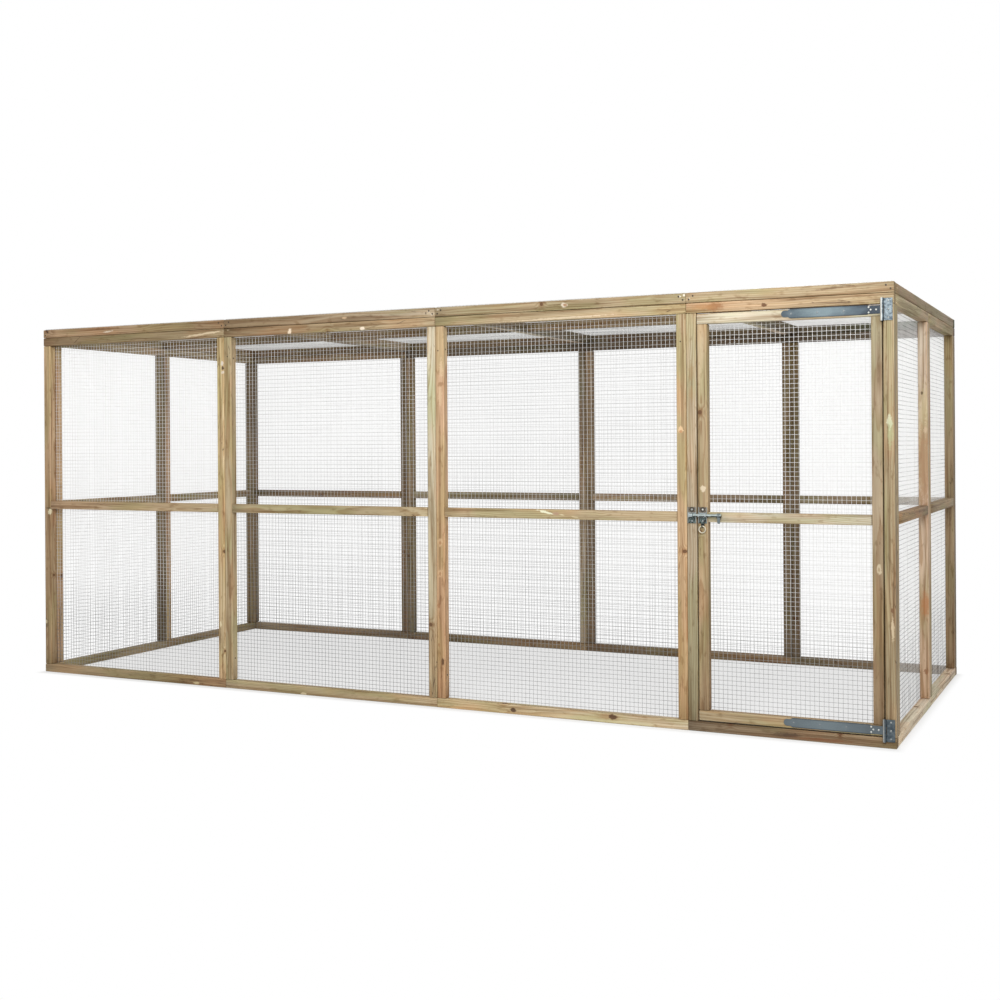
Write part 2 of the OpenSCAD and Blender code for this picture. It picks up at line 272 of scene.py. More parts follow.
# what stands out on the front, in millimetres: x, z, half sizes, colour, strength, and the turn
# in degrees of those that aren't upright
frontMarks = [
    ("knot", -2214, 262, 12, 26, (96, 80, 54), 0.6),
    ("chip", -2215, 270, 6, 10, (222, 206, 168), 0.85),
    ("chip", -2189.5, 864, 11, 15, (236, 226, 190), 0.85),
    ("streak", -2195, 883, 14, 4, (74, 60, 42), 0.7),
    ("streak", -1240, 24, 60, 4, (98, 76, 48), 0.6),
    ("chip", -1210.1, 12, 20, 5.5, (216, 198, 154), 0.8),
    ("chip", -562.2, 7, 18, 5.5, (216, 200, 164), 0.8),
    ("stain", -1056, 245, 5, 60, (112, 90, 58), 0.6),
    ("chip", -1053.2, 318, 6, 14, (232, 218, 180), 0.9),
    ("knot", -1033, 1602.2, 7, 9, (74, 56, 44), 0.9),
    ("chip", -1036, 1625, 7, 12, (232, 222, 208), 0.85, 10),
    ("chip", -1032, 1580, 9, 7, (230, 218, 200), 0.8, -20),
    ("ring", 206.6, 1563.5, 9, 40, (222, 196, 158), 0.55),
    ("knot", 204, 1490, 14, 12, (150, 112, 74), 0.6),
    ("ring", 200.6, 1430, 9, 45, (222, 194, 156), 0.5),
    ("knot", 198, 1190, 10, 12, (140, 100, 66), 0.55),
    ("knot", 205.6, 211.8, 7, 20, (86, 58, 36), 0.85),
    ("knot", 560.8, 20.2, 13, 9, (72, 48, 32), 0.9),
    ("stain", 1015, 29, 50, 12, (158, 120, 82), 0.6),
    ("knot", 1037.7, 29, 16, 10, (82, 54, 36), 0.9),
    ("chip", 723.5, 910, 36, 5, (232, 232, 202), 0.85, 12),
    ("knot", 776, 905, 16, 7, (170, 140, 116), 0.8, 5),
    ("chip", 806, 898, 14, 3, (216, 206, 168), 0.7, 10),
    ("chip", 866, 890, 18, 3, (206, 190, 152), 0.6, 12),
    ("chip", -630, 1764.3, 12, 16, (246, 226, 198), 0.95, 25),
    ("chip", -216, 1761.5, 13, 10, (248, 232, 208), 0.95),
    ("chip", -315, 1819, 16, 5, (220, 190, 152), 0.7),
    ("ring", 195.5, 763.3, 12, 18, (216, 182, 142), 0.6),
    ("knot", 195.5, 760, 6, 8, (160, 116, 76), 0.7),
    ("ring", 194.5, 620.6, 12, 18, (214, 180, 140), 0.6),
    ("knot", 194.5, 618, 6, 8, (154, 110, 74), 0.7),
    ("knot", 188.2, 468.4, 7, 10, (148, 102, 66), 0.65),
    ("knot", 186.9, 288.8, 6, 8, (150, 106, 70), 0.6),
    ("ring", 1350.1, 1268.4, 11, 13, (228, 194, 152), 0.7),
    ("knot", 1350.1, 1260, 6, 6, (168, 118, 78), 0.7),
    ("chip", 1445.6, 1019.4, 10, 12, (224, 208, 180), 0.7),
    ("splinter", -1152, 1777.6, 120, 5, (226, 206, 172), 0.85, -5),
    ("streak", -1210, 1760, 90, 3.5, (104, 78, 52), 0.6, -5),
    ("chip", -1772.8, 1816.5, 30, 4.5, (230, 216, 192), 0.85, -6),
    ("check", -1989.5, 1779, 34, 2.2, (92, 70, 46), 0.7, -38),
    ("ring", 820, 1821.2, 13, 11, (228, 214, 194), 0.7),
    ("knot", 824, 1820.6, 8, 6, (158, 120, 86), 0.9),
    ("chip", 143.6, 1825.5, 6, 3, (230, 220, 200), 0.7, 20),
    ("chip", 159.2, 1810.9, 4, 3, (228, 216, 196), 0.6),
    ("chip", 191.3, 1831.9, 6, 3, (230, 220, 200), 0.7, -10),
    ("chip", 1348.2, 1829.7, 6, 4, (232, 222, 204), 0.7),
    ("chip", 1367.9, 1833.7, 5, 5, (234, 226, 208), 0.8),
    ("chip", 1391, 1818.1, 4, 4, (226, 214, 192), 0.6),
    ("knot", -1003.2, 1658.3, 3.5, 3.5, (62, 52, 44), 0.85),
    ("knot", 189.9, 1644.2, 3.8, 3.8, (62, 46, 36), 0.9),
    ("knot", 1350.4, 1640.1, 3.8, 3.8, (62, 46, 36), 0.9),
    ("knot", 174.8, 207.9, 3.5, 3.5, (62, 52, 44), 0.8),
    ("splinter", 780, 1764, 240, 4, (226, 208, 178), 0.6, -1),
    ("stain", 1500.1, 1780, 34, 16, (142, 92, 52), 0.75),
    ("streak", 1450, 1780, 50, 10, (176, 130, 84), 0.6),
    ("knot", 1708.2, 1775.5, 10, 8, (96, 62, 38), 0.9),
    ("streak", 1980, 1828, 70, 4.5, (104, 80, 56), 0.65, -5),
    ("streak", 2040, 1837, 40, 3, (112, 86, 60), 0.6, 6),
    ("stain", 1396.8, 1510, 10, 40, (150, 122, 84), 0.6),
    ("stain", 1396, 1420, 8, 30, (156, 128, 88), 0.55),
    ("chip", 2204, 1288, 10, 26, (220, 222, 194), 0.55),
    ("knot", 2199, 1270, 6, 12, (128, 112, 78), 0.6),
    ("knot", 2212.3, 544.9, 6, 10, (112, 78, 52), 0.8),
    ("chip", 2212.3, 480, 6, 45, (212, 192, 160), 0.6),
    ("ring", 2160.9, 704.4, 8, 22, (208, 194, 164), 0.6),
    ("knot", 2160.9, 704.4, 4, 8, (142, 116, 84), 0.6),
    ("stain", 1793, 20, 46, 8, (58, 42, 32), 0.7),
    ("streak", 1940, 12, 100, 6, (124, 78, 50), 0.6),
    ("stain", 2206.4, 1245, 11, 50, (172, 184, 140), 0.5),
]
# the same on the middle upright of the right wall
sideMarks = [
    ("stain", 2212, 1350, 24, 100, (212, 194, 150), 0.6),
    ("knot", 2199.4, 1431.8, 5, 8, (96, 78, 54), 0.85),
    ("stain", 2208, 1100, 30, 170, (182, 142, 108), 0.75),
    ("chip", 2214.1, 1264, 9, 14, (222, 196, 164), 0.6),
    ("stain", 2211.9, 470, 20, 50, (186, 126, 80), 0.75),
    ("knot", 2209.9, 164.7, 8, 14, (146, 98, 64), 0.75),
]


def pineMaterial(name, sawn=False, marks=(), depth=0.0):
    # grain: metres along the timber, and across it from the heart of the tree
    material, surface = newMaterial(name, pineTones["khaki"])
    grain, place = attribute("grain", "Vector"), objectPlace()
    along, across, deep = parts(grain)

    # knots are rods from the heart outwards, one to each cell of a row of random places
    cells = shader("TexVoronoi", {"W": along, "Scale": 1 / pine["knotSpacing"]},
                   voronoi_dimensions="1D").outputs
    chance = shader("SeparateColor", {"Color": cells["Color"]}).outputs
    turn = times(chance[0], 2 * math.pi)
    sine, cosine = calc("SINE", turn), calc("COSINE", turn)
    outward = plus(times(across, cosine), times(deep, sine))
    aside = minus(times(deep, cosine), times(across, sine))
    small, large = pine["knotSize"]
    size = calc("MULTIPLY_ADD", chance[1], large - small, small)
    reach = hypot(times(cells["Distance"], pine["knotSpacing"]), aside)
    ragged = cloudy(grain, (160, 160, 160))
    knotDistance = plus(over(reach, size), swing(ragged, 0.25))
    there = times(calc("GREATER_THAN", outward, 0.0),
                  calc("GREATER_THAN", chance[2], pine["knotless"]))
    knot = times(fade(knotDistance, 1.1, 0.8), there)
    rim = times(fade(knotDistance, 2.6, 1.0), there)

    # growth rings, bent round the knots
    waver = plus(swing(cloudy(grain, (3.0, 30, 30)), 0.007),
                 swing(cloudy(grain, (1.3, 5, 5), detail=1), pine["ringBend"]))
    swirl = times(fade(knotDistance, 4.5, 1.0), times(there, 0.007))
    radius = plus(hypot(across, deep), waver, swirl)
    phase = calc("FRACT", over(radius, pine["ringWidth"]))
    late = times(fade(phase, 0.20, 0.88), fade(phase, 1.0, 0.88))

    fibres = cloudy(grain, (14, 700, 700), detail=3)
    streaks = cloudy(grain, (2.0, 75, 75), detail=3)
    patches = cloudy(grain, (2.6, 12, 12), colour=True)
    green, pink, light = shader("SeparateColor", {"Color": patches}).outputs
    blotches = cloudy(grain, (22, 60, 60), detail=4)
    # the timber's tone, which also carries painted shade and light
    colour = tinted(
        attribute("toneAndShade", "Color"),
        (fade(green, 0.46, 0.64, 0, 0.8), (0.84, 0.94, 0.80)),       # from the treatment
        (fade(pink, 0.50, 0.66, 0, 0.8), (1.05, 0.92, 0.85)),        # fresher wood
        (fade(light, 0.54, 0.36, 0, 0.6), (1.18, 1.18, 1.20)),
        (fade(streaks, 0.48, 0.68, 0, 0.9), (0.58, 0.50, 0.42)),
        (fade(streaks, 0.48, 0.34, 0, 0.5), (1.20, 1.18, 1.14)),
        (times(late, pine["lateWood"]), (0.62, 0.48, 0.35)),
        (fade(fibres, 0.38, 0.68, 0, 0.4), (0.70, 0.64, 0.56)),
        (fade(blotches, 0.56, 0.72, 0, 0.7), (0.62, 0.54, 0.45)),
        (times(rim, 0.55), (0.66, 0.48, 0.33)))
    colour = mixed(times(knot, 0.85), colour, rgb(92, 62, 40))

    # drying checks: thin dark lines with the grain, only here and there
    split = shader("TexVoronoi", {
        "Vector": vectorCalc("MULTIPLY", grain, (5.0, 90, 90)), "Scale": 1.0},
        feature="DISTANCE_TO_EDGE")
    crack = times(fade(split, 0.035, 0.0), fade(cloudy(grain, (1.7, 21, 21), detail=1), 0.56, 0.66))
    colour = mixed(times(crack, 0.75), colour, rgb(70, 50, 34))

    # the arris is paler: partly wear, partly a painted highlight along the edges
    wearAndHighlight = times(attribute("arris"), fade(blotches, 0.36, 0.62, 0.15, 0.75), 0.5)
    colour = tinted(colour, (wearAndHighlight, (1.30, 1.28, 1.24)))
    if sawn:
        colour = tinted(colour, (1.0, (0.80, 0.76, 0.70)))

    torn = cloudy(grain, (45, 90, 90))
    for kind, x, z, halfX, halfZ, shade, strength, *turn in marks:
        spot = shader("Mapping", {
            "Vector": place, "Location": (x / 1000, depth, z / 1000),
            "Rotation": (0, math.radians(sum(turn)), 0),
            "Scale": (halfX / 1000, pine["markDepth"], halfZ / 1000)}, vector_type="TEXTURE")
        far = plus(vectorCalc("LENGTH", spot), swing(ragged, 0.5), swing(torn, 0.8))
        soft = 0.6 if kind in ("stain", "streak") else 0.25
        amount = fade(far, 1 + soft, 1 - soft, 0, strength)
        colour = mixed(amount, colour, rgb(*shade))

    height = calc("MULTIPLY_ADD", fibres, 0.6, times(late, 0.25))
    height = minus(height, times(crack, 1.2))
    height = plus(height, times(knot, 0.4))
    rough = pine["roughness"] + (0.15 if sawn else 0.0)
    feed(surface, {
        "Base Color": colour, "Normal": bump(height, 0.5, 0.0012),
        "Roughness": calc("MULTIPLY_ADD", late, -0.10, rough), "Specular IOR Level": 0.25})
    return material


pineFace = pineMaterial("sawnPine")
# a shader holds only so many marks, so each half of the front has its own material
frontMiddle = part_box("front_right_stiles")[0].x
pineFronts = [pineMaterial("sawnPineFront" + half, depth=frontY, marks=[
    mark for mark in frontMarks if (mark[1] > frontMiddle * 1000) == (half == "Right")])
    for half in ("Left", "Right")]
pineSide = pineMaterial("sawnPineSide", marks=sideMarks, depth=sideY)
pineEnd = pineMaterial("pineEndGrain", sawn=True)


# zinc on the mesh, the hinges and the bolt

zinc = {"roughness": 0.42, "metallic": 0.75}
# painted light on the wires: how bright the upright wires are painted at the top and at the foot of each panel,
# from 0 to 1, and the share of it that the level ones keep, as painted shade; the share that is left at a wall's
# foot, as painted shade
wire = {
    "shade": rgb(240, 240, 238), "roughness": 0.42,
    "shine": {
        "front_left": (0.84, 0.44, 0.75), "front_centre": (0.48, 0.14, 0.6),
        "front_right": (0.42, 0.30, 0.6), "door": (0.82, 0.66, 0.56),
        "back_left": (0.78, 0.38, 0.75), "back_centre": (0.54, 0.12, 0.7),
        "back_right": (0.50, 0.32, 0.7), "back_narrow": (0.90, 0.74, 0.75),
        "left": (0.86, 0.42, 0.7), "right": (0.90, 0.88, 0.16),
        "roof_narrow": (0.92, 0.92, 0.7), "roof": (0.62, 0.62, 0.7),
    },
    "footShade": {"door": 0.22, "roof": 1.0, "usual": 0.45},
    # how fast the painted highlights change across, and up, where the sheets are seen edge on
    "streaks": {"roof": (2.0, 0, 36.0), "right": (36.0, 0, 5.0)},
}


def zincMaterial(name, shade, flakeScale, dull, metallic=zinc["metallic"], dim=None):
    # with a dim shade, a painted highlight: the attribute says how near the bright shade each point is
    material, surface = newMaterial(name, shade)
    if dim:
        shade = mixed(attribute("shine"), dim, shade)
    place = objectPlace()
    flakes = shader("TexVoronoi", {"Vector": place, "Scale": flakeScale})
    spangle = shader("SeparateColor", {"Color": flakes.outputs["Color"]}).outputs[0]
    stains = cloudy(place, (28, 28, 40), detail=4)
    specks = cloudy(place, (240, 240, 240))
    colour = tinted(
        shade,
        (fade(spangle, 0.0, 1.0, 0, 0.5), (0.72, 0.75, 0.80)),
        (fade(stains, 0.42, 0.70, 0, dull), (0.52, 0.57, 0.62)),
        (fade(stains, 0.44, 0.28, 0, 0.5), (1.30, 1.28, 1.24)))
    height = calc("MULTIPLY_ADD", specks, 0.7, times(stains, 0.6))
    feed(surface, {
        "Base Color": mixed(fade(specks, 0.70, 0.80, 0, 0.5), colour, rgb(222, 224, 222)),
        "Roughness": calc("MULTIPLY_ADD", spangle, 0.16, zinc["roughness"] - 0.08),
        "Normal": bump(height, 0.3, 0.0004), "Metallic": metallic})
    return material


stapleZinc = zincMaterial("stapleZinc", wire["shade"], 420, 0.15, 0.3)
darkScrew = zincMaterial("darkScrew", rgb(70, 58, 46), 900, 0.6, 0.5)
# screw heads with a painted highlight: bright or dim by their attribute
zincScrew = zincMaterial("zincScrew", rgb(214, 214, 206), 900, 0.4, 0.5, dim=rgb(94, 104, 110))


def wireMaterial():
    # painted light and shade: wires with less painted shine get a darker and less metallic colour, varied in
    # cloudy patches
    material, surface = newMaterial("zincWire", wire["shade"])
    patches = cloudy(objectPlace(), (3, 3, 3), detail=3)
    shine = plus(attribute("shine"), swing(patches, 0.15))
    bright = calc("DIVIDE", shine, 0.50, clamp=True)
    feed(surface, {
        "Base Color": mixed(bright, (0.02, 0.02, 0.019, 1), wire["shade"]),
        "Metallic": fade(shine, 0.45, 0.90, 0.0, 0.95), "Roughness": wire["roughness"]})
    return material


zincWire = wireMaterial()
print("finishes made")


# timbers

timber = {
    "arris": 0.0040,             # radius of the long edges
    "flatFrom": 0.004,           # where the arris ends and the flat face begins
    "ringStep": 0.11,            # metres from one cross-section to the next
    "inset": (0.00035, 0.0009),  # how far a face lies inside its nominal size
    "endStep": 0.0011, "endChamfer": 0.0012,
    "uneven": 0.0003, "drift": 0.0002,        # how much its thickness and its place vary
    "heart": (0.012, 0.075),     # metres from the heart of the tree to the timber
    "toneDrift": 0.18, "seed": 41,
}

# tones of each timber from its low or left end to its high or right end and its lightness in percent, in the order
# of bottom to top, left to right and front to back; the lightness and the dark tones also hold painted shade and
# light: darker at the back and under the roof, paler where the lamp leaves a face in shade
timberTonesAndShade = {
    "front_left_stiles": ("brown-tan-115", "khaki-honey-140"),
    "front_left_rails": ("khaki-brown-108", "tan-khaki-104", "brown-olive-104"),
    "front_centre_stiles": ("straw-khaki-106", "olive-mist-113"),
    "front_centre_rails": ("straw-khaki-104", "olive-olive-110", "brown-khaki-104"),
    "front_right_stiles": ("orange-pink-108", "orange-khaki-102"),
    "front_right_rails": ("honey-cream-98", "straw-khaki-93", "khaki-straw-92"),
    "door_frame_stiles": ("grey-cream-82", "olive-khaki-82"),
    "door_frame_rails": ("dark-brown-86", "tan-khaki-98"),
    "door_stiles": ("brown-khaki-98", "brown-grey-90"),
    "door_rails": ("khaki-khaki-94", "mist-mist-84", "mist-pale-94"),
    "roof_left_rails": ("tan-brown-100", "brown-dark-80", "brown-dark-80"),
    "roof_centre_rails": ("brown-grey-100", "brown-dark-80", "brown-dark-74"),
    "roof_right_rails": ("khaki-khaki-84", "brown-khaki-76", "dark-dark-60"),
    "roof_narrow_rails": ("straw-khaki-92", "dark-brown-76", "dark-moss-62"),
    "roof_centre_sides": ("khaki-grey-92", "mist-pale-100"),
    "roof_right_sides": ("grey-dark-72", "mist-pale-104"),
    "roof_narrow_sides": ("grey-dark-72", "brown-grey-104"),
    "right_front_stiles": ("olive-khaki-100", "pink-pale-110"),
    "right_back_stiles": ("khaki-tan-100", "brown-khaki-102"),
    "right_front_rails": ("mist-pale-132", "orange-brown-98", "cream-straw-104"),
    "right_back_rails": ("mist-pale-126", "brown-khaki-100", "straw-khaki-100"),
    "back_right_rails": ("dark-brown-92", "grey-dark-104", "dark-dark-56"),
    "back_narrow_rails": ("dark-brown-92", "grey-brown-86", "dark-plum-58"),
    "left_front_stiles": ("pink-tan-112", "dark-brown-92"),
    "left_back_stiles": ("tan-pink-104", "brown-dark-96"),
    "back_centre_rails": ("dark-brown-98", "grey-dark-104", "dark-dark-66"),
    "back_narrow_stiles": ("dark-brown-73",),
    "back_right_stiles": ("dark-brown-96", "dark-brown-84"),
}
usualTonesAndShade = {
    "back": ("dark-brown-112", "grey-dark-106", "dark-dark-112"),
    "left": ("olive-khaki-96", "brown-olive-96", "khaki-olive-92"),
    "right": ("brown-khaki-108", "olive-brown-108", "khaki-brown-108"),
    "roof": ("brown-khaki-94", "olive-brown-94", "brown-grey-94"),
}


def looseParts(node):
    # the separate solids of a CAD node, each as its list of points
    mesh = frame["nodes"][node].data
    spots, owner = {}, []

    def root(index):
        while owner[index] != index:
            owner[index] = owner[owner[index]]
            index = owner[index]
        return index

    for face in mesh.polygons:
        first = None
        for vertex in face.vertices:
            key = tuple(round(part, 5) for part in mesh.vertices[vertex].co)
            if key not in spots:
                spots[key] = len(owner)
                owner.append(len(owner))
            if first is None:
                first = root(spots[key])
            owner[root(spots[key])] = first
    groups = {}
    for key, index in spots.items():
        groups.setdefault(root(index), []).append(Vector(key))
    return list(groups.values())


def boxOf(points):
    low = Vector(min(point[axis] for point in points) for axis in range(3))
    high = Vector(max(point[axis] for point in points) for axis in range(3))
    return low, high


def roundedSection(halfWide, halfThick):
    # outline of a timber with rounded edges: offsets, and how near the arris each point is
    outline, radius = [], timber["arris"]
    inWide, inThick = (half - radius - timber["flatFrom"] for half in (halfWide, halfThick))
    for corner, (sideA, sideB) in enumerate(((1, 1), (-1, 1), (-1, -1), (1, -1))):
        centre = (sideA * (halfWide - radius), sideB * (halfThick - radius))
        for step in range(4):
            angle = math.pi / 2 * corner + math.pi / 6 * step
            outline.append((centre[0] + radius * math.cos(angle),
                            centre[1] + radius * math.sin(angle), 1.0 if step in (1, 2) else 0.55))
        for along in (1, -1):                  # the flat face up to the next corner
            if corner % 2 == 0:
                outline.append((sideA * along * inWide, sideB * halfThick, 0.0))
            else:
                outline.append((sideA * halfWide, sideB * along * inThick, 0.0))
    return outline


def timberPiece(node, chance):
    vertices, faces, endFaces, grains, tonesAndShade, arrises = [], [], [], [], [], []
    solids = [boxOf(points) for points in looseParts(node)]
    solids.sort(key=lambda ends: [round((ends[0] + ends[1])[axis], 4) for axis in (2, 0, 1)])
    wall = node.split("_")[0]
    for index, (low, high) in enumerate(solids):
        size = high - low
        lengthAxis = max(range(3), key=lambda axis: size[axis])
        wide, thick = (lengthAxis + 1) % 3, (lengthAxis + 2) % 3
        names = timberTonesAndShade.get(node) or [chance.choice(usualTonesAndShade[wall]) for _ in solids]
        toneLow, toneHigh, percent = names[index % len(names)].split("-")
        startTone, endTone = pineTones[toneLow], pineTones[toneHigh]
        length = size[lengthAxis]
        offset = chance.uniform(10, 90)
        turn = chance.uniform(0, 2 * math.pi)
        heart = (math.cos(turn) * chance.uniform(*timber["heart"]),
                 math.sin(turn) * chance.uniform(*timber["heart"]))
        inset = chance.uniform(*timber["inset"])
        steps = max(2, round(length / timber["ringStep"]))
        flatEnd, cut, drift = inset + timber["endStep"], timber["endChamfer"], timber["drift"]
        stations = [(inset, cut), (flatEnd, 0.0),
                    *((length * step / steps, 0.0) for step in range(1, steps)),
                    (length - flatEnd, 0.0), (length - inset, cut)]
        first = len(vertices)
        lightnessAndShade = int(percent) / 100 * chance.uniform(0.97, 1.03)
        for position, chamfer in stations:
            wobble = [noise.noise((offset + position * 2.4, lane * 7.3, index))
                      for lane in range(4)]
            section = roundedSection(*(
                size[axis] / 2 - inset - chamfer - drift - timber["uneven"] * abs(wave)
                for axis, wave in ((wide, wobble[0]), (thick, wobble[1]))))
            wander = timber["toneDrift"] * noise.noise((offset + position * 3.0, 3.1, 0))
            blend = min(1, max(0, position / length + wander))
            toneAndShade = [lightnessAndShade * (a + (b - a) * blend) for a, b in zip(startTone, endTone)][:3]
            for offsetWide, offsetThick, nearArris in section:
                point = (low + high) / 2
                point[lengthAxis] = low[lengthAxis] + position
                point[wide] += offsetWide + drift * wobble[2]
                point[thick] += offsetThick + drift * wobble[3]
                vertices.append(point)
                grains.append((offset + position, offsetWide + heart[0], offsetThick + heart[1]))
                tonesAndShade.append((*toneAndShade, 1.0))
                arrises.append(1.0 if chamfer else nearArris)
        corners = len(section)
        last = first + (len(stations) - 1) * corners
        for here in range(first, last, corners):
            there = here + corners
            for step in range(corners):
                after = (step + 1) % corners
                faces.append((here + step, here + after, there + after, there + step))
        endFaces += [len(faces), len(faces) + 1]
        faces += [tuple(range(first, first + corners))[::-1], tuple(range(last, last + corners))]
    mesh = bpy.data.meshes.new(node + "_pine")
    mesh.from_pydata(vertices, [], faces)
    addLayer(mesh, "grain", "VECTOR", grains)
    addLayer(mesh, "toneAndShade", "COLOR", tonesAndShade)
    mesh.attributes.new("arris", "FLOAT", "POINT").data.foreach_set("value", arrises)
    onFront = wall in ("front", "door") or node.startswith("roof") and node.endswith("rails")
    mesh.materials.append(pineSide if node == "right_front_stiles"
                          else pineFronts[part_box(node)[0].x > frontMiddle - 0.01] if onFront
                          else pineFace)
    mesh.materials.append(pineEnd)
    ends = set(endFaces)
    mesh.polygons.foreach_set("use_smooth", [face not in ends for face in range(len(faces))])
    mesh.polygons.foreach_set("material_index", [int(face in ends) for face in range(len(faces))])
    mesh.update()
    piece = newObject(node + "_pine", mesh)
    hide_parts(node)
    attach(piece, "door" if node.startswith("door_") and "frame" not in node else "root")


timberNodes = sorted(node for node in frame["nodes"]
                     if node.endswith(("_stiles", "_rails", "_sides")))
for number, node in enumerate(timberNodes):
    timberPiece(node, random.Random(timber["seed"] * 1000 + number))
print(len(timberNodes), "groups of timbers made")


# geometry nodes

def geometryTree(name, floats, **others):
    tree = bpy.data.node_groups.new(name, "GeometryNodeTree")
    for way in ("OUTPUT", "INPUT"):
        tree.interface.new_socket("Geometry", in_out=way, socket_type="NodeSocketGeometry")
    for label, kind in (dict.fromkeys(floats, "Float") | others).items():
        tree.interface.new_socket(label, in_out="INPUT", socket_type="NodeSocket" + kind)
    begin(tree)
    return add("NodeGroupInput").outputs, add("NodeGroupOutput")


def finishTree(geometry, material, result):
    # every tree ends in real geometry with its material on it
    smooth = shape("SetShadeSmooth", {"Geometry": geometry})
    real = shape("RealizeInstances", {"Geometry": smooth})
    feed(result, {0: shape("SetMaterial", {"Geometry": real, "Material": material})})
    return result.id_data


def joinAll(pieces):
    joined = shape("JoinGeometry")
    for piece in pieces:
        plug(joined.inputs[0], piece)
    return joined


def store(geometry, name, value):
    return shape("StoreNamedAttribute", {
        "Geometry": geometry, "Name": name, "Value": value}, data_type="FLOAT", domain="POINT")


def stored(name, kind="FLOAT_VECTOR"):
    return shape("InputNamedAttribute", {"Name": name}, data_type=kind)


def tubes(curve, sides, radius, caps=True):
    profile = shape("CurvePrimitiveCircle", {"Resolution": sides, "Radius": radius})
    return shape("CurveToMesh", {"Curve": curve, "Profile Curve": profile, "Fill Caps": caps})


def grow(name, tree, values, base=None):
    # runs a tree on a base mesh and keeps the result as a plain mesh
    piece = newObject(name, base or bpy.data.meshes.new(name + "Base"))
    modifier = piece.modifiers.new(tree.name, "NODES")
    modifier.node_group = tree
    for item in tree.interface.items_tree:
        if item.in_out == "INPUT" and item.name in values:
            modifier[item.identifier] = values[item.name]
    graph = bpy.context.evaluated_depsgraph_get()
    mesh = bpy.data.meshes.new_from_object(piece.evaluated_get(graph), depsgraph=graph)
    piece.modifiers.remove(modifier)
    piece.data = mesh
    mesh.name = name
    return piece


def pointMesh(name, points, **attributes):
    mesh = bpy.data.meshes.new(name)
    mesh.from_pydata([Vector(point) for point in points], [], [])
    for label, values in attributes.items():
        addLayer(mesh, label, "VECTOR", values)
    return mesh


# welded mesh

weldMesh = {
    "pitch": 0.01905,
    "bendStep": 0.095,           # metres between the bends of a wire
    "waviness": 0.0016,
    "bulge": {"front": 0.004, "door": 0.004, "right": 0.004, "back": -0.003, "left": -0.003,
              "roof": -0.003},       # towards the inside of the run, and down on the roof
    "sides": 6,
}


def weldMeshTree(material):
    given, result = geometryTree("weldedMesh", (
        "Width", "Height", "Pitch", "Wire", "Waviness", "Bulge", "Painted Shine High", "Painted Shine Low",
        "Level Shade Share", "Level First", "Foot Shade"), Streaks="Vector", Seed="Int")
    layers = []
    for upright in (True, False):
        span, length = given["Width"], given["Height"]
        if not upright:
            span, length = length, span
        count = plus(calc("FLOOR", over(span, given["Pitch"])), 1)
        used = times(minus(count, 1), given["Pitch"])
        start = times(minus(span, used), 0.5)
        swapped = times(given["Level First"], 1.0 if upright else -1.0)
        depth = times(given["Wire"], plus(0.5 if upright else 1.5, swapped))
        axis, other = ("X", "Z") if upright else ("Z", "X")
        line = shape("MeshLine", {
            "Count": count, "Start Location": xyz(**{axis: start, "Y": depth}),
            "Offset": xyz(**{axis: given["Pitch"]})})
        strand = shape("CurvePrimitiveLine", {"Start": (0, 0, 0), "End": xyz(**{other: length})})
        bends = calc("CEIL", over(length, weldMesh["bendStep"]))
        bent = shape("ResampleCurve", {"Curve": strand, "Count": bends})
        copies = shape("InstanceOnPoints", {"Points": line, "Instance": bent})
        wires = shape("RealizeInstances", {"Geometry": copies})
        layers.append(store(wires, "share", 1.0 if upright else given["Level Shade Share"]))
    place = shape("InputPosition")
    drift = shader("TexNoise", {
        "Vector": place, "W": given["Seed"], "Scale": 5.0, "Detail": 2.0},
        noise_dimensions="4D").outputs[1]
    driftX, driftY, driftZ = parts(vectorCalc("SUBTRACT", drift, (0.5, 0.5, 0.5)))
    across, _, up = parts(place)
    # the sheet bellies a little between the rails
    bows = [calc("ABSOLUTE", calc("SINE", times(over(position, size), turns * math.pi)))
            for position, size, turns in ((across, given["Width"], 1), (up, given["Height"], 2))]
    shift = xyz(X=times(driftX, given["Waviness"]),
                Y=times(*bows, given["Bulge"], plus(driftY, 0.5)),
                Z=times(driftZ, given["Waviness"]))
    moved = shape("SetPosition", {"Geometry": joinAll(layers), "Offset": shift})
    # painted light: brighter towards the top, painted shade at the foot and on the level wires, painted highlights
    # in streaks
    rise = over(up, given["Height"])
    footShade = fade(rise, 0.15, 0.30, given["Foot Shade"], 1.0)
    shine = times(fade(rise, 0.1, 0.9, given["Painted Shine Low"], given["Painted Shine High"]),
                  times(stored("share", "FLOAT"), footShade))
    streaks = cloudy(place, given["Streaks"], detail=1.0)
    shine = plus(shine, swing(streaks, 0.7))
    wires = tubes(store(moved, "shine", shine), weldMesh["sides"], times(given["Wire"], 0.5))
    return finishTree(wires, material, result)


# a sheet's own axes: across, away from its timber, and up
uprightAxes = ((1, 0, 0), (0, 1, 0), (0, 0, 1))
sideAxes = ((0, 1, 0), (-1, 0, 0), (0, 0, 1))
sheetAxes = {"front": uprightAxes, "door": uprightAxes, "back": uprightAxes, "left": sideAxes,
             "right": sideAxes, "roof": ((1, 0, 0), (0, 0, 1), (0, -1, 0))}


def sheetPlace(node):
    # matrix from a sheet's own axes to the run, with the sheet's width, depth and height
    low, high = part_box(node)
    axes = [Vector(axis) for axis in sheetAxes[node.split("_")[0]]]
    corner = Vector(low[axis] if sum(each[axis] for each in axes) > 0 else high[axis]
                    for axis in range(3))
    place = Matrix.Translation(corner) @ Matrix([list(axis) for axis in axes]).transposed().to_4x4()
    return place, [abs((high - low).dot(axis)) for axis in axes]


